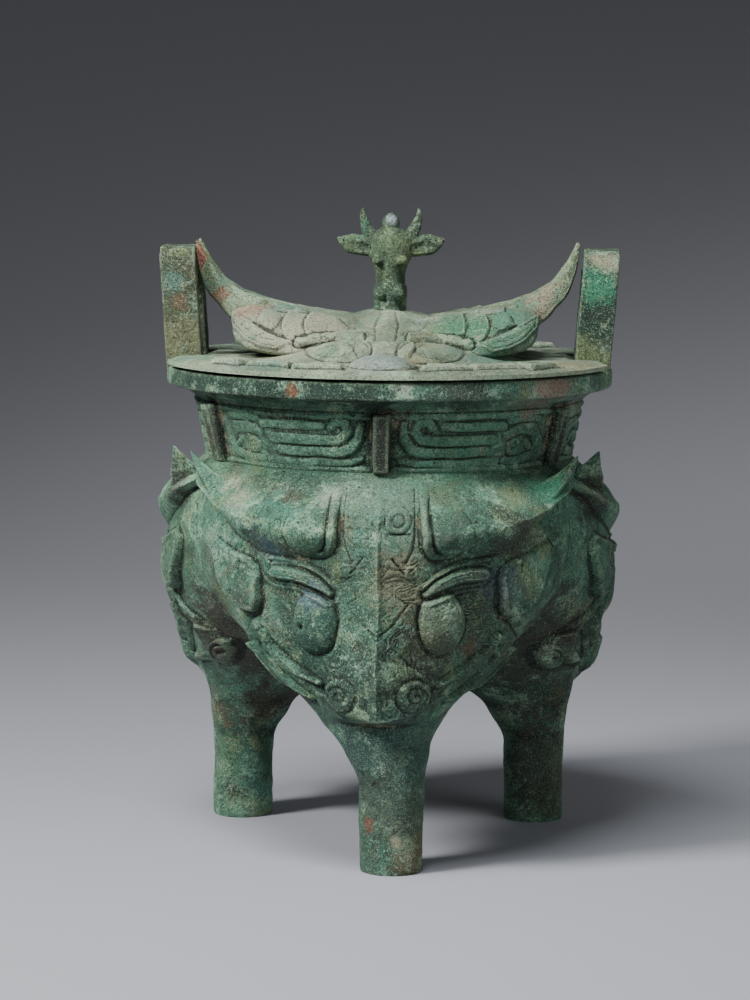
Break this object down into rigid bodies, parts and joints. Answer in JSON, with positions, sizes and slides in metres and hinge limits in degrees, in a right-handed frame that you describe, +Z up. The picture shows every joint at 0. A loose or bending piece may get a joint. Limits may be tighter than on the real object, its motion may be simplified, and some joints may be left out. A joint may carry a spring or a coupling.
{
  "type": "lidded tripod cauldron",
  "caption": "Cast bronze tripod cauldron with lobed belly, ox masks over its legs, upright loop handles and a lift-off lid with horned masks and an ox-head knob.",
  "frame": {"origin": "centre of the outline at floor level, under the feet, 3.3 mm in front of the vessel's axis", "axes": "+Z up along the vessel's axis, -Y the way the front mask faces, X through the two handles"},
  "size_m": [0.2454, 0.2396, 0.33],
  "materials": {
    "vessel_bronze": "matte",
    "lid_bronze": "matte"
  },
  "bodies": {
    "root": {"vessel": "vessel_bronze", "lid": "lid_bronze"}
  },
  "joints": []
}
